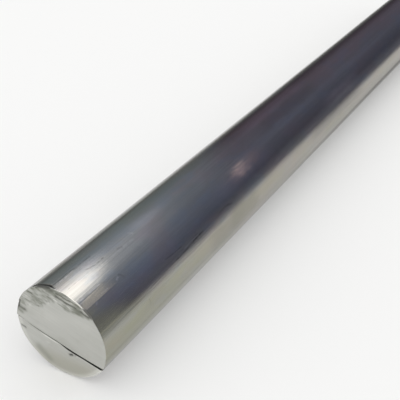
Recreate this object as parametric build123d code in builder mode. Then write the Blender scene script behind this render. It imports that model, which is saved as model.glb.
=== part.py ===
from build123d import *
import os
from math import atan2, degrees, sqrt

# A bright drawn round bar of steel, sawn to length and lying on its side along X.
# The origin is on the floor, under the middle of the bar. The rough-sawn end
# looks along -X and the plain squared end along +X.

# The bar. Its round section starts a little beside its lowest point, so that a
# faceted copy of the bar lies on one of its facets and not on a corner.
bar_diameter = 40.0
bar_length = 500.0
section_start = -94.0

# The plain end, faced square and deburred
plain_end_chamfer = 1.0

# The sawn end. The saw went in twice, from above and from below, and the second
# cut took a little more off: the two meet at a step that crosses the face. The
# step runs down to the right, and gets deeper that way.
second_cut_height = 14.65
step_turn = -15.4
step_depth_shallow = 0.3
step_depth_deep = 0.9
second_cut_chamfer = 1.0

# The second cut ran on past the step and undercut the upper face in a groove,
# which widens towards the deep side of the step.
groove_width_shallow = 0.55
groove_width_deep = 2.25
groove_depth = 1.6

# The upper cut tore a shallow band off the top of the face, inside a thin lip
# left standing along the rim.
torn_band_height = 6.3
torn_band_turn = 6.0
torn_band_depth = 0.45
lip_thickness = 0.5

bar_radius = bar_diameter / 2

# Half the width of the sketches that cut right across the bar
reach = bar_diameter

# The sawn face, with its first axis to the right and its second axis up, as it
# looks to someone who stands in front of that end
sawn_face = Plane(
    origin=(-bar_length / 2, 0, bar_radius),
    x_dir=(0, -1, 0),
    z_dir=(-1, 0, 0),
)

# The same face turned to where the bar's round section starts, and turned so that
# its first axis runs along the step
bar_section = Plane(sawn_face.location * Rotation(0, 0, section_start))
step_face = Plane(sawn_face.location * Rotation(0, 0, step_turn))
step_offset = second_cut_height - bar_radius
step_half_length = sqrt(bar_radius**2 - step_offset**2)

# The second cut lies behind the sawn face and leans along the step
step_mean_depth = (step_depth_shallow + step_depth_deep) / 2
step_depth_gain = step_depth_deep - step_depth_shallow
second_cut_lean = degrees(atan2(step_depth_gain, 2 * step_half_length))
second_cut_face = Plane(
    step_face.location
    * Pos(0, 0, -step_mean_depth)
    * Rotation(0, second_cut_lean, 0)
)

# The groove's width where it crosses the middle of the face, and its taper
groove_mean_width = (groove_width_shallow + groove_width_deep) / 2
groove_taper = (groove_width_deep - groove_width_shallow) / (2 * step_half_length)

torn_band_face = Plane(sawn_face.location * Rotation(0, 0, torn_band_turn))

with BuildPart() as round_bar:
    # Drawn bar
    with BuildSketch(bar_section):
        Circle(bar_radius)
    extrude(amount=-bar_length)

    # Plain end
    plain_end = round_bar.faces().sort_by(Axis.X)[-1]
    chamfer(plain_end.edges(), length=plain_end_chamfer)

    # Second saw cut, over the low part of the face
    with BuildSketch(second_cut_face):
        with Locations((0, step_offset)):
            Rectangle(2 * reach, reach, align=(Align.CENTER, Align.MAX))
    extrude(amount=reach, mode=Mode.SUBTRACT)

    # Its rim, with the sharp edge taken off
    curved_edges = round_bar.edges().filter_by(GeomType.LINE, reverse=True)
    chamfer(curved_edges.sort_by(Axis.Z)[0], length=second_cut_chamfer)

    # Groove that undercuts the upper face along the step
    with BuildSketch(step_face):
        Polygon(
            (-bar_radius, step_offset),
            (bar_radius, step_offset),
            (bar_radius, step_offset + groove_mean_width + groove_taper * bar_radius),
            (-bar_radius, step_offset + groove_mean_width - groove_taper * bar_radius),
            align=None,
        )
    extrude(amount=-groove_depth, mode=Mode.SUBTRACT)

    # Torn band at the top, inside its lip
    with BuildSketch(torn_band_face):
        Circle(bar_radius - lip_thickness)
        with Locations((0, bar_radius - torn_band_height)):
            Rectangle(
                2 * reach,
                reach,
                align=(Align.CENTER, Align.MIN),
                mode=Mode.INTERSECT,
            )
    extrude(amount=-torn_band_depth, mode=Mode.SUBTRACT)

round_bar.part.label = "round_bar"

os.makedirs("parts", exist_ok=True)
export_step(round_bar.part, "parts/round_bar.step")
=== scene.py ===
import math

import bpy
import numpy as np
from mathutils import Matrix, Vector


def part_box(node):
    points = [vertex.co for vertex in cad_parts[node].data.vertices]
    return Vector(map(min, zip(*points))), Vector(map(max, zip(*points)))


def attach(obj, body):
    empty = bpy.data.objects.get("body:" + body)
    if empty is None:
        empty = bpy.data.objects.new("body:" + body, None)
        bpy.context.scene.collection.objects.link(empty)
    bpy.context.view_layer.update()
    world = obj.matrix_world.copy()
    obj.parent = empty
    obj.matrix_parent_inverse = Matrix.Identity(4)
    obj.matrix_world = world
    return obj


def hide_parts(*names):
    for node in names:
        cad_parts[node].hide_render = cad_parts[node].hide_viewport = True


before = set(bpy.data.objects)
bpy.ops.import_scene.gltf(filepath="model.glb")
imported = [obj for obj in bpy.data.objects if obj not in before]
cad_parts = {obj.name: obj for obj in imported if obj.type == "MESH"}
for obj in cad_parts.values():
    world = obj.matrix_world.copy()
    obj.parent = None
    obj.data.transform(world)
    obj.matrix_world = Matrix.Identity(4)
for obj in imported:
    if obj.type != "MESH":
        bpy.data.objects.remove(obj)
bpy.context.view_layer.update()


# ---- The sawn end ----------------------------------------------------------------
# The near end of a bright steel bar, cut through with a power saw, first from above
# and then from below. The bare metal is left as the blade left it: two facets, with
# an open groove where they meet, and torn metal where the first cut broke in.

mm = 0.001
bar_low, bar_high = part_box("round_bar")
bar_radius = bar_high.z / 2 / mm
bar_length = (bar_high.x - bar_low.x) / mm

# Sizes here are in millimetres. The face is drawn as a person in front of it sees
# it: u to the right and w up from the middle, and depth back into the bar. A turn
# is an angle round the bar in degrees, 0 at the right and 90 at the top.
step_turn = math.radians(-15.4)
step_depth_shallow = 0.3
step_depth_deep = 0.9
step_half_length = 19.2
groove_depth = 1.6
top_wall_depth = 0.05
foot_wall_drop = 0.04
lower_edge_drop = 0.05
torn_patch_depth = 0.04
streak_depth = 0.12
fine_streak_depth = 0.06
upper_rim_rounding = 0.07
lower_rim_rounding = 1.0
lower_rim_rounding_left = 0.25
lower_rim_grows = (198, 232)

# How finely the face is drawn, and how far round the rim its rows reach
upper_rows = 120
lower_rows = 80
face_columns = 210
top_corners = (125, 55)
bottom_half = 35
wall_turn = math.radians(0.12)
row_bend_power = 1.5
edge_bow_power = 6

# The lines where the two facets stop short of each other, as places along the step
# and across it
upper_edge = [(-19.5, -4.1), (-15.0, -4.3), (-12.5, -4.67), (-5.0, -4.63), (-1.0, -4.42)]
upper_edge += [(2.0, -4.36), (6.0, -4.3), (9.0, -4.15), (12.0, -3.93), (15.0, -3.68)]
upper_edge += [(19.7, -3.25)]
lower_edge = [(-19.3, -4.9), (-15.5, -5.0), (-13.0, -5.45), (-9.0, -5.66), (-4.0, -5.68)]
lower_edge += [(0.3, -5.6), (2.0, -6.0), (4.0, -6.32), (7.0, -6.28), (10.0, -6.03)]
lower_edge += [(19.2, -5.78)]

# Spans of the rim: how strong something is there, and the turns where it begins, is
# full, is full no longer, and ends
upper_rim_worn = [
    (0.5, 39, 43, 51, 56),
    (0.3, 48, 57, 60, 78),
    (0.35, 93, 100, 112, 122),
    (0.3, 153, 160, 168, 176),
]
# the rim is painted lighter as a highlight over the first spans, and darker as shade over the next
rim_painted_light_spans = [(0.15, 53, 57, 66, 76), (0.5, 200, 215, 335, 345), (0.4, 285, 300, 335, 345)]
rim_painted_shade_spans = [(0.8, 38, 42, 52, 56), (0.9, 93, 99, 113, 122), (0.85, 156, 160, 165, 170)]

# Marks on the upper facet, where metal is torn, smeared or wiped. Each is a line,
# its width, how torn it is (below 0 for wiped clean), how dirty and how deep.
upper_marks = [
    # the first two lines, along the top left rim, are painted shade under the burr
    ([(-9.0, 17.9), (-6.0, 18.8), (-2.6, 19.5)], 0.6, 0.6, 0.8, 0.2),
    ([(-4.6, 18.8), (-3.0, 18.2), (-1.6, 18.9)], 0.75, 0.7, 0.35, 0.12),
    ([(-2.2, 18.6), (0.5, 18.9), (4.6, 18.8)], 0.55, 0.7, 0.05, 0.1),
    ([(-4.0, 17.9), (1.0, 17.9), (5.0, 17.3), (9.8, 16.2)], 0.7, 0.75, 0.0, 0.12),
    ([(0.2, 18.2), (4.0, 17.5), (8.0, 16.7), (10.4, 16.1)], 0.28, 0.5, 0.6, 0.2),
    ([(-0.4, 17.0), (2.3, 16.3), (4.2, 15.6), (6.8, 15.3), (8.2, 14.9)], 0.42, 0.85, 0.6, 0.25),
    ([(7.7, 14.4), (9.8, 14.0)], 1.05, 0.95, 0.12, 0.1),
    ([(7.0, 13.1), (11.2, 12.6)], 0.6, 0.85, 0.05, 0.05),
    ([(10.5, 14.2), (12.0, 13.5), (13.7, 13.0)], 0.5, 0.85, 0.6, 0.25),
    ([(3.5, 13.0), (5.2, 12.5)], 0.6, 0.65, 0.05, 0.08),
    ([(-3.6, 15.4), (-2.2, 15.0), (-1.4, 14.3)], 0.6, 0.7, 0.1, 0.1),
    ([(3.0, 15.4), (4.4, 15.2)], 0.25, 0.5, 0.3, 0.1),
    ([(-7.6, 17.2), (-6.4, 16.0), (-5.6, 15.2)], 0.6, 0.5, 0.0, 0.1),
    ([(-6.0, 17.2), (-4.6, 16.6), (-3.4, 16.4)], 0.5, 0.75, 0.15, 0.1),
    ([(-10.6, 16.8), (-9.6, 16.0), (-9.4, 14.2)], 1.0, 0.5, 0.0, 0.05),
    ([(-13.1, 14.2), (-11.6, 13.9)], 0.4, 0.8, 0.25, 0.12),
    ([(-11.4, 13.8), (-9.6, 13.3), (-8.2, 12.7)], 0.42, 0.75, 0.1, 0.12),
    ([(-9.6, 12.4), (-8.6, 11.8), (-6.0, 12.0)], 0.6, 0.5, 0.0, 0.08),
    ([(-14.6, 10.4), (-13.2, 10.1), (-11.8, 9.7)], 0.4, 0.6, 0.05, 0.08),
    ([(-11.2, 9.7), (-10.0, 9.2), (-8.6, 9.2)], 0.36, 0.7, 0.1, 0.08),
    ([(-16.4, 9.6), (-15.9, 8.2), (-15.2, 7.2)], 0.45, 0.3, 0.0, 0.08),
    ([(-18.6, 5.8), (-17.4, 5.2), (-15.8, 5.0)], 0.75, 0.9, 0.3, 0.3),
    ([(-17.6, 8.6), (-18.3, 6.7), (-18.8, 4.8)], 0.35, 0.5, 0.7, 0.2),
    ([(-18.8, 4.0), (-17.2, 3.2)], 0.8, 0.6, 0.0, 0.15),
    ([(-1.5, 16.1), (-0.2, 14.9)], 0.5, -1.0, 0.0, 0.0),
    ([(8.4, 15.7), (10.4, 15.2)], 0.3, -0.9, 0.0, 0.0),
    ([(10.8, 15.9), (12.2, 15.0), (13.6, 14.1)], 0.5, -0.9, 0.0, 0.0),
    ([(0.6, 15.2), (5.8, 14.1)], 0.35, -0.6, 0.0, 0.0),
    ([(3.0, 16.8), (7.0, 16.2)], 0.2, -0.5, 0.0, 0.0),
    ([(-16.0, 12.0), (-13.8, 11.8)], 0.4, -0.5, 0.0, 0.0),
    ([(-12.8, 12.6), (-11.0, 11.6), (-9.8, 10.8)], 0.9, 0.22, 0.0, 0.0),
    ([(-13.8, 12.9), (-12.0, 12.4)], 0.25, -0.5, 0.0, 0.0),
    ([(-11.0, 10.8), (-9.6, 10.2)], 0.35, -0.7, 0.0, 0.0),
    ([(-15.6, 8.8), (-12.6, 8.4)], 0.5, -0.35, 0.0, 0.0),
    ([(-17.6, 4.4), (-15.0, 4.8)], 1.1, 0.3, 0.0, 0.0),
    ([(-4.6, 13.6), (-4.0, 12.8)], 0.5, -0.5, 0.0, 0.0),
]

# The same for the lower facet: two pits, a nick at the rim, a broad band of painted shade near the
# rim and a wiped spot
lower_marks = [
    ([(2.9, -9.0), (3.9, -8.65)], 0.5, 0.25, 0.95, 0.35),
    ([(5.2, -8.5), (5.5, -8.1)], 0.4, 0.0, 0.5, 0.12),
    ([(-18.7, -3.7), (-17.1, -4.2)], 0.5, 0.0, 0.6, 0.2),
    # a broad band of painted shade near the rim
    ([(-11.5, -11.0), (-9.2, -13.0), (-7.0, -15.2)], 1.6, 0.42, 0.0, 0.0),
    ([(-7.2, -7.2), (-6.0, -7.0)], 0.7, -0.2625, 0.0, 0.0),
]

# Where the patch that the blade tore ends, and the span along the step where both facets are
# painted grey along their edge as shade
patch_edge = [(-19.0, 6.0), (-15.0, 6.6), (-13.0, 8.4), (-8.0, 8.8), (-4.5, 11.6), (-2.5, 13.6)]
patch_edge += [(2.0, 13.4), (7.0, 12.2), (12.0, 12.0), (16.0, 11.6)]
step_shade_span = (-15.5, -12, -1, 3)

# The lip that was left standing along the rim: where it begins, by its distance
# from the middle, and its span of turns
lip_begins = (19.4, 19.6)
lip_span = (41, 48, 66, 76)


def smooth(edge_0, edge_1, value):
    """0 before the first edge, 1 after the second, and an easy curve between."""
    k = np.clip((value - edge_0) / (edge_1 - edge_0), 0, 1)
    return k * k * (3 - 2 * k)


def window(value, begins, full, full_until, ends):
    """0 outside a span, 1 in its middle, and an easy curve on either side."""
    return smooth(begins, full, value) * smooth(ends, full_until, value)


def over_spans(turn, spans):
    """How strong something is at a turn of the rim, by its list of spans."""
    return sum(strength * window(turn, *span) for strength, *span in spans)


def cloud(a, b, middle_a, middle_b, size_a, size_b):
    """A soft patch in two directions, 1 in its middle."""
    return np.exp(-(((a - middle_a) / size_a) ** 2) - ((b - middle_b) / size_b) ** 2)


def grain(along, across, length, width, seed, shift=40):
    """Soft random heights from 0 to 1, on a lattice of that length and width."""
    size_a, size_b = 97, 89
    lattice = np.random.default_rng(seed).random((size_a, size_b))
    along, across = along / length + shift, across / width + shift
    i, j = np.floor(along).astype(int), np.floor(across).astype(int)
    a, b = along - i, across - j
    a, b = a * a * (3 - 2 * a), b * b * (3 - 2 * b)
    i, next_i = i % size_a, (i + 1) % size_a
    j, next_j = j % size_b, (j + 1) % size_b
    near = lattice[i, j] * (1 - a) + lattice[next_i, j] * a
    far = lattice[i, next_j] * (1 - a) + lattice[next_i, next_j] * a
    return near * (1 - b) + far * b


def near_line(u, w, points, width):
    """How strongly each place lies on a line through the points, from 0 to 1."""
    nearest = np.full(np.shape(u), np.inf)
    for (u0, w0), (u1, w1) in zip(points, points[1:]):
        du, dw = u1 - u0, w1 - w0
        k = np.clip(((u - u0) * du + (w - w0) * dw) / (du * du + dw * dw), 0, 1)
        nearest = np.minimum(nearest, np.hypot(u - u0 - k * du, w - w0 - k * dw))
    return np.exp(-((nearest / width) ** 2))


def on_curve(points, places):
    """The heights of a curve through the points, at other places along it."""
    return np.interp(places, [p[0] for p in points], [p[1] for p in points])


def along_and_across(u, w):
    """Places on the face, along the step and across it."""
    along = u * math.cos(step_turn) + w * math.sin(step_turn)
    across = -u * math.sin(step_turn) + w * math.cos(step_turn)
    return along, across


def rim_rounding(angle, part):
    """How much the edge of the face is rounded over, by its angle on the rim."""
    turn = np.degrees(angle) % 360
    upper = upper_rim_rounding + over_spans(turn, upper_rim_worn)
    lower = lower_rim_rounding_left
    lower = lower + (lower_rim_rounding - lower) * smooth(*lower_rim_grows, turn)
    return np.where(part == "lower", lower, upper)


def on_rim(across, part, right_hand):
    """The angle where a line at that place across the step meets the rim. The
    rounding depends on the angle, so it is closed in on in a few goes."""
    angle = step_turn + (0 if right_hand else math.pi)
    for _ in range(8):
        rise = math.asin(across / (bar_radius - float(rim_rounding(angle, part))))
        angle = step_turn + (rise if right_hand else math.pi - rise)
    return angle


def rows_of_the_face():
    """The rows from top to bottom: both ends as angles, how far the row bends with
    the rim, and the part of the face that it is on."""
    top = [math.radians(turn) for turn in top_corners]
    edge = [on_rim(upper_edge[0][1], "upper", False), on_rim(upper_edge[-1][1], "upper", True)]
    foot = [on_rim(lower_edge[0][1], "lower", False), on_rim(lower_edge[-1][1], "lower", True)]
    foot[1] += 2 * math.pi
    straight_down = step_turn + 1.5 * math.pi
    bottom = [straight_down + math.radians(turn) for turn in (-bottom_half, bottom_half)]
    rows = []
    for k in np.linspace(0, 1, upper_rows):
        left, right = [top[i] + (edge[i] - top[i]) * k for i in (0, 1)]
        rows.append((left, right, (1 - k) ** row_bend_power, "upper"))
    rows.append((edge[0] + wall_turn, edge[1] - wall_turn, 0, "top wall"))
    rows.append((edge[0] + 2 * wall_turn, edge[1] - 2 * wall_turn, 0, "groove"))
    rows.append((foot[0] - 2 * wall_turn, foot[1] + 2 * wall_turn, 0, "groove foot"))
    rows.append((foot[0] - wall_turn, foot[1] + wall_turn, 0, "foot wall"))
    for k in np.linspace(0, 1, lower_rows):
        left, right = [foot[i] + (bottom[i] - foot[i]) * k for i in (0, 1)]
        rows.append((left, right, k**row_bend_power, "lower"))
    return rows


def upper_facet(u, w):
    """The upper facet's depth, how torn it is with painted light and shade, and how dark with dirt
    and painted shade.
    """
    along, across = along_and_across(u, w)
    turn = np.degrees(np.arctan2(w, u))
    streak = grain(along, across, 2.6, 0.55, seed=3)
    fine_streak = grain(along, across, 1.1, 0.24, seed=4)
    wander = grain(along, across, 1.3, 0.8, seed=5, shift=20) - 0.5
    u_off = u + 0.4 * wander
    w_off = w + 0.35 * (grain(along, across, 1.7, 0.9, seed=6, shift=0) - 0.5)

    # the whole patch that the blade tore, with its streaks, and then the marks
    patch = smooth(-0.5, 1.1, w - on_curve(patch_edge, u) + 1.6 * wander)
    torn_and_painted_light = patch * (0.5 * smooth(0.2, 0.85, streak) + 0.35 * smooth(0.45, 0.9, fine_streak))
    depth = patch * (torn_patch_depth + streak_depth * streak + fine_streak_depth * fine_streak)
    dirt_and_painted_shade = 0 * u
    for points, width, tornness, dirtiness, deepness in upper_marks:
        mark = near_line(u_off, w_off, points, width) * (0.65 + 0.55 * streak)
        torn_and_painted_light = torn_and_painted_light + tornness * mark * (1 - np.abs(torn_and_painted_light))
        dirt_and_painted_shade = dirt_and_painted_shade + dirtiness * mark * (1 - dirt_and_painted_shade)
        depth = depth + deepness * mark

    # a band of painted shade above the step, soft light ones where the metal is cleanest, and
    # painted shade along the step's edge
    torn_and_painted_light = torn_and_painted_light + 0.16 * cloud(along, across, 3, -3.1, 7, 1.6)
    torn_and_painted_light = torn_and_painted_light - 0.26 * cloud(u, w, -5, 6.5, 9, 4.5) * (1 - patch)
    torn_and_painted_light = torn_and_painted_light - 0.22 * cloud(u, w, 11, 9, 7, 3.5) * (1 - patch)
    torn_and_painted_light = torn_and_painted_light - 0.2 * cloud(u, w, -15, 9.6, 2.5, 2)
    above = across - on_curve(upper_edge, along)
    torn_and_painted_light = torn_and_painted_light + 0.45 * smooth(0.7, 0.0, above) * window(along, *step_shade_span)

    # the lip is at full height, clean and painted a little lighter as a highlight for most of its
    # length, and worn at its low end
    lip = smooth(*lip_begins, np.hypot(u, w)) * window(turn, *lip_span)
    lip_wear_and_highlight = 0.5 * smooth(57, 53, turn) - 0.15
    return depth * (1 - lip), np.clip(torn_and_painted_light, -1, 1) * (1 - lip) + lip_wear_and_highlight * lip, dirt_and_painted_shade * (1 - lip)


def lower_facet(u, w):
    """The lower facet's depth, how torn it is with painted light and shade, and how dark with dirt
    and painted shade.
    """
    along, across = along_and_across(u, w)
    below = on_curve(lower_edge, along) - across
    lean = (step_depth_deep - step_depth_shallow) / (2 * step_half_length)
    depth = (step_depth_shallow + step_depth_deep) / 2 + lean * along
    depth = depth + lower_edge_drop * smooth(0.4, 0.0, below)

    # painted shade at the edge along the step, a painted highlight just below it, and painted light
    # again near the rim, most of all at the right
    torn_and_painted_light = 0.4 * smooth(0.5, 0.0, below) * window(along, *step_shade_span)
    torn_and_painted_light = torn_and_painted_light - 0.75 * window(below, 0.1, 0.35, 0.6, 1.0) * window(along, -10, -6, -2, 1)
    torn_and_painted_light = torn_and_painted_light - 0.4 * smooth(17.0, 18.7, np.hypot(u, w))
    torn_and_painted_light = torn_and_painted_light - 0.14 * smooth(6, 14, u) * smooth(-6, -9, w)
    dirt_and_painted_shade = 0 * u
    for points, width, tornness, dirtiness, deepness in lower_marks:
        mark = near_line(u, w, points, width)
        torn_and_painted_light = torn_and_painted_light + tornness * mark
        dirt_and_painted_shade = dirt_and_painted_shade + dirtiness * mark
        depth = depth + deepness * mark
    return depth, torn_and_painted_light, np.clip(dirt_and_painted_shade, 0, 1)


# Every point of the skin is its depth, u, w, how torn it is with painted light and shade, and how
# dirty with painted shade
rows = rows_of_the_face()
share_across = np.linspace(0, 1, face_columns)
face = np.zeros((len(rows), face_columns, 5))
for i, (left, right, bend, part) in enumerate(rows):
    is_lower = part in ("lower", "foot wall", "groove foot")
    angle = left + (right - left) * share_across
    edge = bar_radius - rim_rounding(angle, "lower" if part in ("lower", "foot wall") else "upper")
    u_ends = edge[[0, -1]] * np.cos([left, right])
    w_ends = edge[[0, -1]] * np.sin([left, right])
    u = bend * edge * np.cos(angle) + (1 - bend) * np.interp(share_across, [0, 1], u_ends)
    w = bend * edge * np.sin(angle) + (1 - bend) * np.interp(share_across, [0, 1], w_ends)
    line = lower_edge if is_lower else upper_edge
    along = along_and_across(u, w)[0]
    bow = on_curve(line, along) - on_curve([line[0], line[-1]], along)
    bow = bow * (1 - bend) ** edge_bow_power
    u, w = u - bow * math.sin(step_turn), w + bow * math.cos(step_turn)
    if part == "upper":
        depth, torn_and_painted_light, dirt_and_painted_shade = upper_facet(u, w)
    elif part == "lower":
        depth, torn_and_painted_light, dirt_and_painted_shade = lower_facet(u, w)
    # the step's top wall is painted dark, and the groove's foot wall and floor nearly black, as
    # shade
    elif part == "top wall":
        depth, torn_and_painted_light, dirt_and_painted_shade = top_wall_depth, 0, 0.6
    elif part == "foot wall":
        depth, torn_and_painted_light, dirt_and_painted_shade = lower_facet(u, w)[0] + foot_wall_drop, 0, 1
    else:
        depth, torn_and_painted_light, dirt_and_painted_shade = groove_depth, 0, 1
    face[i] = np.stack(np.broadcast_arrays(depth, u, w, torn_and_painted_light, dirt_and_painted_shade), axis=1)

# The edge of the face, clockwise from its top left corner
last_row, last_column = len(rows) - 1, face_columns - 1
rim = [(0, c) for c in range(face_columns)]
rim += [(r, last_column) for r in range(1, len(rows))]
rim += [(last_row, c) for c in range(last_column - 1, -1, -1)]
rim += [(r, 0) for r in range(last_row - 1, 0, -1)]
rim_points = np.array([face[r, c] for r, c in rim])
rim_angle = np.arctan2(rim_points[:, 2], rim_points[:, 1])
rim_turn = np.degrees(rim_angle) % 360
rounding = bar_radius - np.hypot(rim_points[:, 1], rim_points[:, 2])

# The rest of the skin is rings of points, each with the finish of the band up to it
drawn, sawn, squared = 0, 1, 2
rings = []


def add_ring(depth, radius, finish, torn_and_painted_light=0.0, dirt_and_painted_shade=0.0):
    """One more ring round the bar, with as many points as the edge of the face."""
    ring = np.zeros((len(rim), 5))
    ring[:, 0] = depth
    ring[:, 1] = radius * np.cos(rim_angle)
    ring[:, 2] = radius * np.sin(rim_angle)
    ring[:, 3] = torn_and_painted_light
    ring[:, 4] = dirt_and_painted_shade
    rings.append((ring, finish))


# The edge between the face and the drawn side, rounded in a quarter circle. It is painted lighter
# in places as a highlight, and painted darker as shade in others, as where metal was pressed over
# it.
rim_painted_light = -over_spans(rim_turn, rim_painted_light_spans)
rim_painted_shade = over_spans(rim_turn, rim_painted_shade_spans)
for arc in np.linspace(0, math.pi / 2, 7)[1:]:
    back = rim_points[:, 0] + rounding * (1 - math.cos(arc))
    add_ring(back, bar_radius - rounding * (1 - math.sin(arc)), sawn, rim_painted_light, rim_painted_shade)


def wire(node, inputs):
    """Fills a node's sockets with values or with links."""
    for name, value in inputs.items():
        if isinstance(value, bpy.types.NodeSocket):
            node.id_data.links.new(value, node.inputs[name])
        else:
            node.inputs[name].default_value = value


def put(tree, kind, inputs=None, **settings):
    """Adds a node, sets it up and fills its sockets."""
    node = tree.nodes.new(kind)
    for name, value in settings.items():
        setattr(node, name, value)
    wire(node, inputs or {})
    return node


def maths(operation, *values):
    """One step of arithmetic on sockets and numbers."""
    tree = next(value.id_data for value in values if isinstance(value, bpy.types.NodeSocket))
    return put(tree, "ShaderNodeMath", dict(enumerate(values)), operation=operation).outputs[0]


def plus(first, *others):
    """A sum of sockets and numbers."""
    for other in others:
        first = maths("ADD", first, other)
    return first


def minus(first, second):
    """A difference of sockets and numbers."""
    return maths("SUBTRACT", first, second)


def times(first, *others):
    """A product of sockets and numbers."""
    for other in others:
        first = maths("MULTIPLY", first, other)
    return first


def vector_maths(operation, first, second=(0, 0, 0)):
    """The outputs of one step of arithmetic on vectors."""
    inputs = {0: first, 1: second}
    return put(first.id_data, "ShaderNodeVectorMath", inputs, operation=operation).outputs


def split(vector):
    """The three parts of a vector."""
    return put(vector.id_data, "ShaderNodeSeparateXYZ", {0: vector}).outputs


def joined(x, y=0.0, z=0.0):
    """A vector from three parts, of which the first is a socket."""
    return put(x.id_data, "ShaderNodeCombineXYZ", {0: x, 1: y, 2: z}).outputs[0]


def noise(place, scale, detail, **more):
    """The outputs of a cloudy noise."""
    inputs = {"Vector": place, "Scale": scale, "Detail": detail, **more}
    return put(place.id_data, "ShaderNodeTexNoise", inputs).outputs


def spread(value, low, high, to_low=0.0, to_high=1.0):
    """A value from low to high, spread over another range in an easy curve."""
    inputs = {0: value, 1: low, 2: high, 3: to_low, 4: to_high}
    node = put(value.id_data, "ShaderNodeMapRange", inputs, interpolation_type="SMOOTHSTEP")
    return node.outputs[0]


def band(value, begins, full, full_until, ends):
    """0 outside a span of a value, 1 in its middle, and an easy curve on either side."""
    return times(spread(value, begins, full), spread(value, ends, full_until))


def blend(share, first, second):
    """A colour between two others."""
    first, second = [c if isinstance(c, bpy.types.NodeSocket) else (*c, 1) for c in (first, second)]
    inputs = {0: share, 6: first, 7: second}
    return put(share.id_data, "ShaderNodeMix", inputs, data_type="RGBA").outputs[2]


def new_group(name, inputs, output):
    """An empty node group: its tree, and the nodes of its inputs and its output."""
    group = bpy.data.node_groups.new(name, "ShaderNodeTree")
    for socket, value in inputs.items():
        kind = "NodeSocketVector" if value is None else "NodeSocketFloat"
        made = group.interface.new_socket(name=socket, in_out="INPUT", socket_type=kind)
        if value is not None:
            made.default_value = value
    group.interface.new_socket(name=output, in_out="OUTPUT", socket_type="NodeSocketFloat")
    return group, group.nodes.new("NodeGroupInput").outputs, group.nodes.new("NodeGroupOutput")


def grouped(group, inputs):
    """The output of a node group, set into the tree that its place comes from."""
    return put(inputs["Place"].id_data, "ShaderNodeGroup", inputs, node_tree=group).outputs[0]


# Fine lines that a tool leaves in metal, long in the first axis of the place
group_inputs = {"Place": None, "Line length": 60.0, "Line pitch": 0.8}
tool_lines, given, out = new_group("tool_lines", group_inputs, "Height")
per_pitch = maths("DIVIDE", 1.0, given["Line pitch"])
shrink = joined(maths("DIVIDE", 1.0, given["Line length"]), per_pitch, per_pitch)
shrunk = vector_maths("MULTIPLY", given["Place"], shrink)[0]
wire(out, {"Height": noise(shrunk, 1.0, 3.0, Roughness=0.6)["Fac"]})

# Cloudy patches of thin oil and tarnish, where bare metal was handled. The more of
# it is covered, the lower the level where the clouds begin to count.
group_inputs = {"Place": None, "Patch size": 25.0, "Cover": 0.5}
handling_stain, given, out = new_group("handling_stain", group_inputs, "Mask")
per_patch = maths("DIVIDE", 1.0, given["Patch size"])
clouds = noise(given["Place"], per_patch, 5.0, Roughness=0.6, Distortion=0.5)["Fac"]
bare_level = minus(0.72, times(given["Cover"], 0.5))
wire(out, {"Mask": spread(clouds, bare_level, plus(bare_level, 0.25))})


def metal(name):
    """A bare metal material: itself, its shader, and the place on the bar in
    millimetres, with x from the sawn end and y and z from the bar's axis."""
    material = bpy.data.materials.new(name)
    material.use_nodes = True
    shader = material.node_tree.nodes["Principled BSDF"]
    shader.inputs["Metallic"].default_value = 1.0
    at = put(material.node_tree, "ShaderNodeTexCoord").outputs["Object"]
    to_sawn_end = (-bar_low.x / mm, 0, -bar_radius)
    inputs = {"Vector": at, "Location": to_sawn_end, "Scale": (1 / mm, 1 / mm, 1 / mm)}
    return material, shader, put(material.node_tree, "ShaderNodeMapping", inputs).outputs[0]


def on_skin(shader, name):
    """A value that the mesh carries at each of its points."""
    return put(shader.id_data, "ShaderNodeAttribute", attribute_name=name).outputs["Fac"]


def relief(height):
    """The normal of a surface with a fine relief, from a height in millimetres."""
    inputs = {"Strength": 1.0, "Distance": mm, "Height": height}
    return put(height.id_data, "ShaderNodeBump", inputs).outputs["Normal"]


# Sawn steel: pale and even, with the blade's lines along the step, painted shade low down, a duller
# and greener grey where it is torn and where shade is painted, a lighter grey where it is wiped and
# where highlights are painted, and nearly black in the pits and, as painted shade, in the groove
saw_grey, saw_grey_light = (0.49, 0.492, 0.462), (0.54, 0.542, 0.51)
saw_stain_grey, saw_stain_strength = (0.37, 0.37, 0.32), 0.14
saw_low_shade_grey, low_shade_heights = (0.455, 0.45, 0.4), (-20.0, -16.5, -14.5, -8.0)
rubbed_and_highlight_grey = (0.75, 0.75, 0.71)
torn_and_shade_grey = (0.235, 0.245, 0.205)
saw_dirt_and_shade = (0.05, 0.05, 0.045)
sawn_roughness, torn_roughness = (0.36, 0.42), 0.1
blade_line_height = 0.012
broad_line_height = 0.03

sawn_steel, sawn_shader, place = metal("sawn_steel")
from_face, _, height = split(place)
along_step = (0, -math.cos(step_turn), math.sin(step_turn))
across_step = (0, math.sin(step_turn), math.cos(step_turn))
in_step = joined(
    vector_maths("DOT_PRODUCT", place, along_step)["Value"],
    vector_maths("DOT_PRODUCT", place, across_step)["Value"],
    from_face,
)
torn_and_light_here, dirt_and_shade_here = on_skin(sawn_shader, "torn_and_painted_light"), on_skin(sawn_shader, "dirt_and_painted_shade")
blade_lines = grouped(tool_lines, {"Place": in_step, "Line length": 22.0, "Line pitch": 0.5})
broad_lines = grouped(tool_lines, {"Place": in_step, "Line length": 40.0, "Line pitch": 2.6})
saw_stain = grouped(handling_stain, {"Place": place, "Patch size": 9.0, "Cover": 0.5})

saw_colour = blend(spread(blade_lines, 0.3, 0.7), saw_grey, saw_grey_light)
saw_colour = blend(times(saw_stain, saw_stain_strength), saw_colour, saw_stain_grey)
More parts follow.
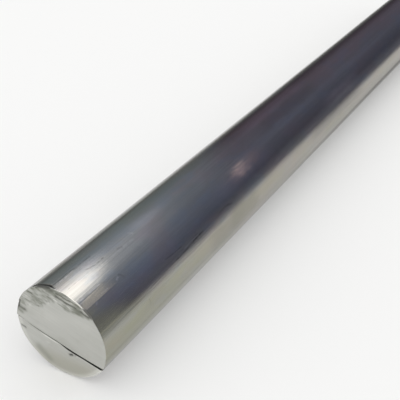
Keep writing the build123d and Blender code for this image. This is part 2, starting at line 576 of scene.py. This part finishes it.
# the face is painted darker low down as shade
saw_colour = blend(band(height, *low_shade_heights), saw_colour, saw_low_shade_grey)
saw_colour = blend(spread(torn_and_light_here, 0.0, -1.0), saw_colour, rubbed_and_highlight_grey)
saw_colour = blend(torn_and_light_here, saw_colour, torn_and_shade_grey)
saw_colour = blend(dirt_and_shade_here, saw_colour, saw_dirt_and_shade)
saw_relief = plus(times(blade_lines, blade_line_height), times(broad_lines, broad_line_height))
saw_rough = spread(saw_stain, 0.0, 1.0, *sawn_roughness)
wire(
    sawn_shader,
    {
        "Base Color": saw_colour,
        "Metallic": minus(1.0, dirt_and_shade_here),
        "Roughness": plus(saw_rough, times(torn_and_light_here, torn_roughness)),
        "Specular IOR Level": 0.1,
        "Normal": relief(saw_relief),
    },
)


# ---- The drawn side --------------------------------------------------------------
# The round of the bar, pulled cold through a die that left it bright, with fine
# lines along it. It is a little stained and scuffed from the rack, and the saw
# pressed a small burr down behind the torn edge.

burr_hollow = 0.22
burr_middle = 0.6
burr_size = 0.35
rings_at_burr = (0.15, 0.3, 0.45, 0.6, 0.8, 1.0, 1.2, 1.5)
rings_along = (3.6, 4.5, 6.0, 9.0, 14.0, 25.0, 50.0)
rings_along += (100.0, 175.0, 250.0, 325.0, 400.0, 450.0, 480.0)

# the hollow behind the burr is painted nearly black as shade
burr = window(rim_turn, 90, 97, 119, 126)
for back in rings_at_burr:
    hollow = burr_hollow * burr * math.exp(-(((back - burr_middle) / burr_size) ** 2))
    behind_rim = rim_points[:, 0] + rounding + back
    add_ring(behind_rim, bar_radius - hollow, drawn, dirt_and_painted_shade=burr * smooth(1.5, 0.8, back))
for back in rings_along:
    add_ring(back, bar_radius, drawn)

drawn_grey, drawn_grey_light = (0.335, 0.337, 0.315), (0.385, 0.387, 0.362)
ripple_grey = (0.3, 0.305, 0.3)
tarnish_grey = (0.325, 0.32, 0.268)
blotch_grey = (0.42, 0.425, 0.40)
warm_grey = (0.4, 0.35, 0.35)
cool_grey = (0.32, 0.355, 0.38)
mottle_olive = (0.36, 0.355, 0.25)
dark_scratch_and_shade = (0.09, 0.09, 0.09)
bright_scratch_and_highlight = (0.85, 0.82, 0.8)
film_low, film_high = (0.69, 0.67, 0.46), (0.53, 0.49, 0.31)
wiped_grey = (0.74, 0.66, 0.5)
burr_painted_shade = (0.03, 0.03, 0.028)
drawn_roughness = (0.105, 0.16)
ripple_height = 0.07
wave_height = 0.14
cloud_height = 0.05

# The die's fine lines spread the reflections round the bar more than along it
drawn_steel, drawn_shader, place = metal("drawn_steel")
tangent = put(place.id_data, "ShaderNodeTangent", direction_type="RADIAL", axis="X").outputs[0]
wire(drawn_shader, {"Anisotropic": 1.0, "Tangent": tangent})
from_end, left_of_axis, over_axis = split(place)
turn = maths("DEGREES", maths("ARCTAN2", over_axis, times(left_of_axis, -1.0)))

die_lines = grouped(tool_lines, {"Place": place, "Line length": 90.0, "Line pitch": 0.45})
ripples = grouped(tool_lines, {"Place": place, "Line length": 130.0, "Line pitch": 2.4})
waves = grouped(tool_lines, {"Place": place, "Line length": 70.0, "Line pitch": 7.0})
long_place = vector_maths("MULTIPLY", place, (0.4, 1, 1))[0]
tarnish = grouped(handling_stain, {"Place": long_place, "Patch size": 11.0, "Cover": 0.5})
blotches = grouped(handling_stain, {"Place": place, "Patch size": 4.0, "Cover": 0.3})
warm = noise(long_place, 0.09, 4.0)["Fac"]
cool = noise(long_place, 0.13, 4.0)["Fac"]
low_right = band(turn, -26.0, -14.0, 12.0, 20.0)

# Bright steel in the lines of the die, under tarnish, lighter blotches, a warm and a
# cool haze, and old oil in an olive mottle low on the right. Each has its strength.
colour = blend(spread(die_lines, 0.3, 0.7), drawn_grey, drawn_grey_light)
for cover, strength, tint in (
    (spread(ripples, 0.35, 0.65), 0.3, ripple_grey),
    (tarnish, 0.85, tarnish_grey),
    (blotches, 0.4, blotch_grey),
    (spread(warm, 0.45, 0.62), 0.5, warm_grey),
    (spread(cool, 0.48, 0.64), 0.5, cool_grey),
    (times(spread(warm, 0.53, 0.44), low_right), 0.45, mottle_olive),
):
    colour = blend(times(cover, strength), colour, tint)

# Old patches of oil and tarnish, with ragged edges: from and to along the bar, from
# and to in turn, how soft their edges are in both, their strength and their colour
patches = [
    (-20, 540, -24, 16, 12, 6, 0.5, (0.355, 0.345, 0.265)),
    (86, 540, -26, 22, 14, 4, 0.3, (0.37, 0.318, 0.3)),
    (76, 104, -15, 14, 5, 4, 0.5, (0.265, 0.258, 0.215)),
    (94, 119, -8, 17, 4, 4, 0.65, (0.265, 0.258, 0.21)),
    (24, 40, 2, 14, 5, 4, 0.35, (0.29, 0.285, 0.225)),
    (0, 22, -2, 12, 6, 4, 0.25, (0.34, 0.34, 0.23)),
    (-20, 26, 16, 26, 8, 3, 0.45, (0.355, 0.345, 0.235)),
    (58, 74, -4, 12, 5, 4, 0.2, (0.35, 0.34, 0.23)),
    (44, 110, 98, 116, 8, 5, 0.5, (0.31, 0.325, 0.28)),
    (210, 520, 98, 118, 14, 6, 0.8, (0.235, 0.22, 0.225)),
    (92, 142, 34, 54, 10, 6, 0.5, (0.46, 0.45, 0.455)),
    (186, 258, 6, 18, 8, 4, 0.5, (0.24, 0.235, 0.225)),
    (150, 212, 66, 84, 14, 8, 0.5, (0.21, 0.205, 0.2)),
    (212, 254, 28, 46, 14, 7, 0.85, (0.56, 0.525, 0.5)),
    (140, 215, 88, 104, 16, 6, 0.6, (0.46, 0.405, 0.42)),
    (46, 62, 79, 91, 6, 4, 0.6, (0.46, 0.455, 0.45)),
    (100, 330, 57, 64, 20, 4, 0.35, (0.41, 0.42, 0.43)),
]
ragged = split(noise(long_place, 0.22, 4.0)["Color"])
ragged_x = maths("MULTIPLY_ADD", ragged["X"], 9.0, minus(from_end, 4.5))
ragged_turn = maths("MULTIPLY_ADD", ragged["Y"], 14.0, minus(turn, 7.0))
for x0, x1, turn0, turn1, soft_x, soft_turn, strength, tint in patches:
    along_in = band(ragged_x, x0 - soft_x, x0 + soft_x, x1 - soft_x, x1 + soft_x)
    turn_spans = [turn0 - soft_turn, turn0 + soft_turn, turn1 - soft_turn, turn1 + soft_turn]
    colour = blend(times(along_in, band(ragged_turn, *turn_spans), strength), colour, tint)

# the bar is a little duller towards its plain end
colour = blend(times(spread(from_end, 150.0, 230.0), 0.1), colour, (0, 0, 0))


def on_side_line(line_points, width):
    """How strongly a place lies on a line along the side, given as distances from the sawn end and
    turns. Most lines are scratches; some are painted highlight and painted shade."""
    per_degree = math.radians(bar_radius)
    strongest = None
    for (x0, turn0), (x1, turn1) in zip(line_points, line_points[1:]):
        length, rise = x1 - x0, (turn1 - turn0) * per_degree
        dx, dt = minus(from_end, x0), times(minus(turn, turn0), per_degree)
        k = maths("DIVIDE", plus(times(dx, length), times(dt, rise)), length**2 + rise**2)
        k = maths("MINIMUM", maths("MAXIMUM", k, 0.0), 1.0)
        off_x, off_t = minus(dx, times(k, length)), minus(dt, times(k, rise))
        away = maths("SQRT", plus(times(off_x, off_x), times(off_t, off_t)))
        mark = spread(away, width, 0.0)
        strongest = mark if strongest is None else maths("MAXIMUM", strongest, mark)
    return strongest


# Scratches, scuffs and knocks, and lines of painted shade and painted highlight: the points of
# each, its width and its strength. A dark scratch wanders along the front, two long lines of
# painted shade lie low on the front, streaks of painted highlight lie in the bright reflection by
# the sawn end, and the rest are short and fine.
dark_scores_and_shade = [
    ([(31, 21.0), (52, 24.0)], 0.4, 0.45),
    ([(50, 23.6), (56, 24.4), (61.5, 25.2)], 0.45, 0.7),
    ([(62.5, 25.6), (66, 26.5), (71.5, 26.8)], 0.6, 0.95),
    ([(64, 29.4), (68, 29.8)], 0.4, 0.5),
    ([(86, 29.0), (93, 29.8), (98, 26.5)], 0.45, 0.7),
    ([(45, 33.0), (50, 32.5), (56, 31.6)], 0.45, 0.45),
    ([(0, 51.0), (15, 51.2)], 0.4, 0.35),
    # the next two long lines low on the front are painted shade, a reflection of the shade beside
    # the bar's foot
    ([(-2, -11.0), (110, -11.5), (140, -9.0), (180, -8.0)], 2.0, 0.14),
    ([(2, -12.0), (60, -11.2), (116, -11.6)], 0.6, 0.12),
    ([(0, 58.0), (14, 58.5)], 0.28, 0.2),
    ([(2, 96.3), (6, 96.0), (9, 97.0), (14, 95.4), (22, 95.0)], 0.5, 0.45),
    ([(14.8, 84.6), (16.0, 82.4), (20.0, 81.0), (24.0, 81.4)], 0.55, 0.45),
    ([(31.5, 78.5), (33.5, 76.6)], 0.8, 0.3),
    ([(21.8, 56.0), (22.6, 54.0), (23.0, 51.0)], 0.7, 0.25),
    ([(1, 60.2), (15, 60.0)], 0.35, 0.15),
    ([(2, 64.2), (12, 64.0)], 0.3, 0.25),
    ([(3, 79.8), (14, 79.5)], 0.3, 0.2),
    ([(0, 90.0), (18, 89.0)], 0.6, 0.15),
    ([(28.6, 12.0), (28.9, 5.0)], 0.3, 0.35),
]
bright_scores_and_highlights = [
    # the next two lines, and those at turns 94 and 75 below, are painted highlight streaks in the
    # bright reflection by the sawn end
    ([(5, 53.2), (14, 53.0)], 0.45, 0.45),
    ([(2, 61.8), (13, 61.6)], 0.4, 0.3),
    ([(19.6, 53.2), (20.6, 54.4)], 0.7, 0.3),
    ([(5.6, 48.6), (6.4, 50.0)], 0.5, 0.35),
    ([(3, 94.2), (7, 93.8), (12, 94.4)], 0.45, 0.4),
    ([(18, 75.8), (28, 75.6), (40, 75.2)], 0.9, 0.1),
    ([(42.0, 83.5), (42.5, 81.5)], 1.1, 0.16),
    ([(57, 27.2), (62, 28.0), (68, 28.4)], 0.35, 0.35),
    ([(-2, -19.5), (68, -18.5)], 1.6, 0.05),
]

# the metal takes no scratch evenly, so each line, painted ones too, is broken up
broken = spread(noise(place, 0.7, 2.0)["Fac"], 0.36, 0.56, 0.25, 1.0)
for scores, tint in ((dark_scores_and_shade, dark_scratch_and_shade), (bright_scores_and_highlights, bright_scratch_and_highlight)):
    for line_points, width, strength in scores:
        colour = blend(times(on_side_line(line_points, width), broken, strength), colour, tint)

# an olive film of saw oil by the cut, with a slanting end, a wiped streak above it, and painted
# shade in the burr's hollow
slanting = maths("MULTIPLY_ADD", turn, 0.5, minus(ragged_x, 12.0))
film = times(spread(slanting, 26.0, 6.0), band(turn, 19.0, 27.0, 46.0, 60.0))
colour = blend(film, colour, blend(spread(turn, 26.0, 38.0), film_low, film_high))
wiped = times(spread(turn, 50.2, 51.4), spread(ragged_turn, 62.0, 56.0))
wiped = times(wiped, spread(ragged_x, 20.0, 8.0))
colour = blend(wiped, colour, wiped_grey)
colour = blend(on_skin(drawn_shader, "dirt_and_painted_shade"), colour, burr_painted_shade)

drawn_relief = plus(times(ripples, ripple_height), times(waves, wave_height))
drawn_relief = plus(drawn_relief, times(warm, cloud_height))
wire(
    drawn_shader,
    {
        "Base Color": colour,
        "Roughness": spread(ripples, 0.35, 0.65, *drawn_roughness),
        "Normal": relief(drawn_relief),
    },
)


# ---- The plain end ---------------------------------------------------------------
# The far end of the bar, faced square in a lathe and with its edge broken. The tool
# left fine rings in the bare steel.

plain_end_chamfer = 1.0
faced_rings = (18.9, 15.0, 10.0, 5.0, 1.0)
faced_grey, faced_grey_light = (0.46, 0.465, 0.44), (0.56, 0.565, 0.54)
faced_stain_grey, faced_stain_strength = (0.36, 0.355, 0.3), 0.3
faced_roughness = (0.3, 0.38)
feed_pitch = 0.35
feed_height = 0.0015
uneven_height = 0.02

add_ring(bar_length - plain_end_chamfer, bar_radius, drawn)
add_ring(bar_length, bar_radius - plain_end_chamfer, squared)
for radius in faced_rings:
    add_ring(bar_length, radius, squared)
middle = np.array([[bar_length, 0, 0, 0, 0]])

faced_steel, faced_shader, place = metal("faced_steel")
_, left_of_axis, over_axis = split(place)
from_axis = vector_maths("LENGTH", joined(left_of_axis, over_axis))["Value"]
uneven = noise(joined(from_axis), 3.5, 3.0)["Fac"]
feed = maths("SINE", times(from_axis, 2 * math.pi / feed_pitch))
faced_stain = grouped(handling_stain, {"Place": place, "Patch size": 12.0, "Cover": 0.5})
faced_colour = blend(spread(uneven, 0.3, 0.7), faced_grey, faced_grey_light)
faced_colour = blend(times(faced_stain, faced_stain_strength), faced_colour, faced_stain_grey)
wire(
    faced_shader,
    {
        "Base Color": faced_colour,
        "Roughness": spread(faced_stain, 0.0, 1.0, *faced_roughness),
        "Normal": relief(plus(times(uneven, uneven_height), times(feed, feed_height))),
    },
)


# ---- The bar as one piece --------------------------------------------------------
# All of it is one length of steel, so its skin is one closed mesh in three finishes:
# the grid of the sawn face, then ring after ring to the middle of the plain end.

sharp_from = math.radians(35)

faces = []
finishes = []
for r in range(last_row):
    for c in range(last_column):
        a = r * face_columns + c
        faces.append((a, a + face_columns, a + face_columns + 1, a + 1))
        finishes.append(sawn)
last_ring = [r * face_columns + c for r, c in rim]
start = len(rows) * face_columns
for ring, finish in rings:
    for i in range(len(rim)):
        j = (i + 1) % len(rim)
        faces.append((last_ring[i], last_ring[j], start + j, start + i))
        finishes.append(finish)
    last_ring = list(range(start, start + len(rim)))
    start += len(rim)
for i in range(len(rim)):
    faces.append((last_ring[i], last_ring[(i + 1) % len(rim)], start))
    finishes.append(squared)

skin = np.concatenate([face.reshape(-1, 5)] + [ring for ring, finish in rings] + [middle])
places = np.stack(
    [bar_low.x + skin[:, 0] * mm, -skin[:, 1] * mm, (bar_radius + skin[:, 2]) * mm],
    axis=1,
)
bar_mesh = bpy.data.meshes.new("sawn_round_bar")
bar_mesh.from_pydata(places.tolist(), [], faces)
for name, values in (("torn_and_painted_light", skin[:, 3]), ("dirt_and_painted_shade", skin[:, 4])):
    bar_mesh.attributes.new(name, "FLOAT", "POINT").data.foreach_set("value", values)
bar_mesh.polygons.foreach_set("material_index", finishes)
bar_mesh.polygons.foreach_set("use_smooth", [True] * len(faces))
bar_mesh.update()
bar_mesh.set_sharp_from_angle(angle=sharp_from)
for steel in (drawn_steel, sawn_steel, faced_steel):
    bar_mesh.materials.append(steel)
bar = bpy.data.objects.new("sawn_round_bar", bar_mesh)
bpy.context.scene.collection.objects.link(bar)
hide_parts("round_bar")
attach(bar, "root")


# ---- Floor -----------------------------------------------------------------------
# A pale sheet of paper that the bar lies on. The polish of the steel sees it get
# dark a few bar widths away on either side, and a line of shade beside the bar's
# foot. Sizes here are in metres.

floor_half = 6.0
floor_grey = (0.75, 0.75, 0.745, 1)
floor_glow = (1, 1, 0.99, 1)
floor_glow_strength = 0.2
flag_height = 0.045
flag_least_fade = 0.008
far_foot_light = (0.75, 0.75, 0.74)
foot_changes = (-0.19, -0.06)


def sheet(name, corners, material):
    """A flat sheet with four corners."""
    mesh = bpy.data.meshes.new(name)
    mesh.from_pydata(corners, [], [(0, 1, 2, 3)])
    mesh.materials.append(material)
    made = bpy.data.objects.new(name, mesh)
    bpy.context.scene.collection.objects.link(made)
    return made


def for_polish(name, corners):
    """A sheet that only reflections see. Gives the sheet, the place on it in three
    parts, and the output of its material, which is still to be filled."""
    material = bpy.data.materials.new(name)
    material.use_nodes = True
    tree = material.node_tree
    tree.nodes.clear()
    made = sheet(name, corners, material)
    made.visible_camera = False
    made.visible_diffuse = False
    made.visible_shadow = False
    at = put(tree, "ShaderNodeTexCoord").outputs["Object"]
    return made, split(at), put(tree, "ShaderNodeOutputMaterial")


paper = bpy.data.materials.new("pale_floor")
paper.use_nodes = True
wire(
    paper.node_tree.nodes["Principled BSDF"],
    {
        "Base Color": floor_grey,
        "Roughness": 1.0,
        "Specular IOR Level": 0.0,
        "Emission Color": floor_glow,
        "Emission Strength": floor_glow_strength,
    },
)
quarters = ((-1, -1), (1, -1), (1, 1), (-1, 1))
floor_corners = [(x * floor_half, y * floor_half, 0) for x, y in quarters]
floor = sheet("floor", floor_corners, paper)

# Two low flags stand where the pale floor ends for the polish, lighter at the foot
# than higher up. Each has its distance and how that changes along the bar, the
# height where its light has faded and how that changes, and the light of its near
# foot and of its top.
for name, distance, skew, fade_height, fade_change, foot_light, top_light in (
    ("flag_right", -0.084, 0.035, 0.0232, 0.0, (0.75, 0.75, 0.74), (0.15, 0.155, 0.2)),
    ("flag_left", 0.112, -0.045, 0.0295, -0.035, (0.57, 0.57, 0.56), (0.15, 0.152, 0.148)),
):
    ends = [(-1, 0), (1, 0), (1, flag_height), (-1, flag_height)]
    flag, at, out = for_polish(name, [(x, distance + skew * x, z) for x, z in ends])
    faded = maths("MULTIPLY_ADD", at["X"], fade_change, fade_height)
    faded = maths("MAXIMUM", faded, flag_least_fade)
    foot = blend(spread(at["X"], *foot_changes), foot_light, far_foot_light)
    flag_light = blend(spread(at["Z"], 0.0, faded), foot, top_light)
    glow = put(flag_light.id_data, "ShaderNodeEmission", {"Color": flag_light})
    wire(out, {"Surface": glow.outputs[0]})


def beside(value, centre):
    """How far a value is from a centre."""
    return maths("ABSOLUTE", minus(value, centre))


# The line of shade lies just over the floor, and along the bar it gets wider and
# darker and leaves the bar's foot. Its middle and its half width each change evenly.
shade_lift = 0.0001
shade_outline = ((-0.3, -0.034), (0.5, -0.034), (0.5, -0.012), (-0.3, -0.012))
shade_middle, shade_middle_change = -0.0196, -0.0165
shade_width, shade_width_change, shade_least_width = 0.0055, 0.022, 0.002
shade_darkens, shade_darkest = (-0.22, 0.1), 0.56
shade_corners = [(x, y, shade_lift) for x, y in shade_outline]
shade_line, at, out = for_polish("shade_line", shade_corners)
line_middle = maths("MULTIPLY_ADD", at["X"], shade_middle_change, shade_middle)
aside = beside(at["Y"], line_middle)
half_width = maths("MULTIPLY_ADD", at["X"], shade_width_change, shade_width)
half_width = maths("MAXIMUM", half_width, shade_least_width)
dark = times(spread(aside, half_width, 0.0), spread(at["X"], *shade_darkens, 0.0, shade_darkest))
clear = put(dark.id_data, "ShaderNodeBsdfTransparent").outputs[0]
black = put(dark.id_data, "ShaderNodeEmission", {"Color": (0, 0, 0, 1)}).outputs[0]
shade = put(dark.id_data, "ShaderNodeMixShader", {0: dark, 1: clear, 2: black})
wire(out, {"Surface": shade.outputs[0]})


# ---- Light -----------------------------------------------------------------------
# Even white light from all round. The steel's polish sees a dim room instead, with a
# soft panel overhead that lights the near end, and a small lamp further along.

under_light = (0.9, 0.9, 0.88)

world = bpy.data.worlds.new("studio")
bpy.context.scene.world = world
world.use_nodes = True
room_tree = world.node_tree
room_tree.nodes.clear()

# The room is seen by where a ray heads: how far it heads along the bar, from -1 back
# past the sawn end to 1, and its turn round the bar, from 0 at the left floor line
# over the top to 180 at the right
heading_x, heading_y, heading_z = split(put(room_tree, "ShaderNodeTexCoord").outputs["Generated"])
room_turn = maths("DEGREES", maths("ARCTAN2", heading_z, heading_y))


def wall(*stops):
    """The room's light by the turn round the bar, given as turns and colours."""
    ramp = put(room_tree, "ShaderNodeValToRGB", {"Fac": maths("DIVIDE", room_turn, 180.0)})
    elements = ramp.color_ramp.elements
    first, *between, last = stops
    for element, (at_turn, *light) in zip(elements, (first, last)):
        element.position, element.color = at_turn / 180, (*light, 1)
    for at_turn, *light in between:
        elements.new(at_turn / 180).color = (*light, 1)
    return ramp.outputs["Color"]


# What lies behind the sawn end is bright. Along the bar the room gets dimmer and
# bluer in three more stretches, each with its own light.
behind = wall(
    (0, 0.2, 0.2, 0.19),
    (25, 0.85, 0.85, 0.84),
    (90, 1.25, 1.24, 1.2),
    (155, 0.85, 0.85, 0.84),
    (180, 0.2, 0.2, 0.19),
)
near = wall(
    (0, 0.24, 0.27, 0.27),
    (25, 0.315, 0.35, 0.37),
    (60, 0.58, 0.6, 0.68),
    (90, 0.5, 0.53, 0.62),
    (120, 0.295, 0.32, 0.4),
    (150, 0.19, 0.208, 0.305),
    (180, 0.13, 0.137, 0.175),
)
further = wall(
    (0, 0.19, 0.2, 0.2),
    (25, 0.25, 0.275, 0.31),
    (60, 0.31, 0.335, 0.405),
    (100, 0.25, 0.27, 0.34),
    (130, 0.19, 0.205, 0.285),
    (160, 0.125, 0.14, 0.205),
    (180, 0.095, 0.1, 0.125),
)
far = wall(
    (0, 0.05, 0.045, 0.05),
    (25, 0.115, 0.094, 0.118),
    (55, 0.185, 0.162, 0.215),
    (110, 0.175, 0.18, 0.245),
    (140, 0.125, 0.127, 0.18),
    (165, 0.1, 0.098, 0.135),
    (180, 0.085, 0.08, 0.09),
)
room = blend(spread(heading_x, 0.42, 0.53), behind, near)
room = blend(spread(heading_x, 0.665, 0.745), room, further)
room = blend(spread(heading_x, 0.745, 0.8), room, far)

# the far corner is in shade
room = blend(times(spread(heading_x, 0.88, 0.915), 0.12), room, (0, 0, 0))

# The panel overhead, the same panel seen lower in a scuffed sheen, and its halo:
# the turn of the middle, how far round it fades out and is full, where along it
# fades out and is full, its strength and its light
for middle_turn, out_turn, full_turn, out_x, full_x, strength, light in (
    (81.0, 31.0, 5.0, 0.643, 0.6, 1.0, (2.95, 2.84, 2.78)),
    (54.0, 22.0, 5.0, 0.648, 0.606, 0.28, (2.7, 2.5, 2.42)),
    (84.0, 34.0, 5.0, 0.69, 0.635, 0.05, (2.95, 2.84, 2.78)),
):
    round_in = spread(beside(room_turn, middle_turn), out_turn, full_turn)
    room = blend(times(round_in, spread(heading_x, out_x, full_x), strength), room, light)

# The lamp and a weak echo of it, with the middle along the bar and how far from
# there each fades out and is full
for middle_turn, out_turn, full_turn, middle_x, out_x, full_x, strength, light in (
    (125.5, 27.0, 7.0, 0.785, 0.0048, 0.0, 1.0, (1.12, 0.83, 0.82)),
    (124.0, 19.0, 8.0, 0.8, 0.007, 0.001, 0.3, (0.5, 0.36, 0.38)),
):
    round_in = spread(beside(room_turn, middle_turn), out_turn, full_turn)
    along_in = spread(beside(heading_x, middle_x), out_x, full_x)
    room = blend(times(round_in, along_in, strength), room, light)

# below the floor line there is only the pale sheet
room = blend(spread(heading_z, 0.0, -0.02), room, under_light)

seen = put(room_tree, "ShaderNodeBackground", {"Color": room})
pale = put(room_tree, "ShaderNodeBackground", {"Color": (1, 1, 1, 1), "Strength": 1.0})
is_glossy = put(room_tree, "ShaderNodeLightPath").outputs["Is Glossy Ray"]
lights = {0: is_glossy, 1: pale.outputs[0], 2: seen.outputs[0]}
either = put(room_tree, "ShaderNodeMixShader", lights)
put(room_tree, "ShaderNodeOutputWorld", {"Surface": either.outputs[0]})


# ---- Camera ----------------------------------------------------------------------
# It stands in front of the sawn end and a little to its right, and looks down
# along the bar. Its stand-offs are in bar diameters from the middle of that end.

diameter = 2 * bar_radius * mm
sawn_end = Vector((bar_low.x, 0, bar_radius * mm))
stand_off = Vector((-3.884, -3.677, 4.531))
heading = math.radians(29.915)
tilt = math.radians(-31.04)
camera_data = bpy.data.cameras.new("camera")
camera_data.lens = 68.4
camera_data.sensor_width = 36
camera_data.clip_start = 0.01
camera = bpy.data.objects.new("camera", camera_data)
bpy.context.scene.collection.objects.link(camera)
camera.location = sawn_end + diameter * stand_off
camera.rotation_euler = (math.pi / 2 + tilt, 0, heading - math.pi / 2)
bpy.context.scene.camera = camera
bpy.context.scene.view_settings.view_transform = "Standard"
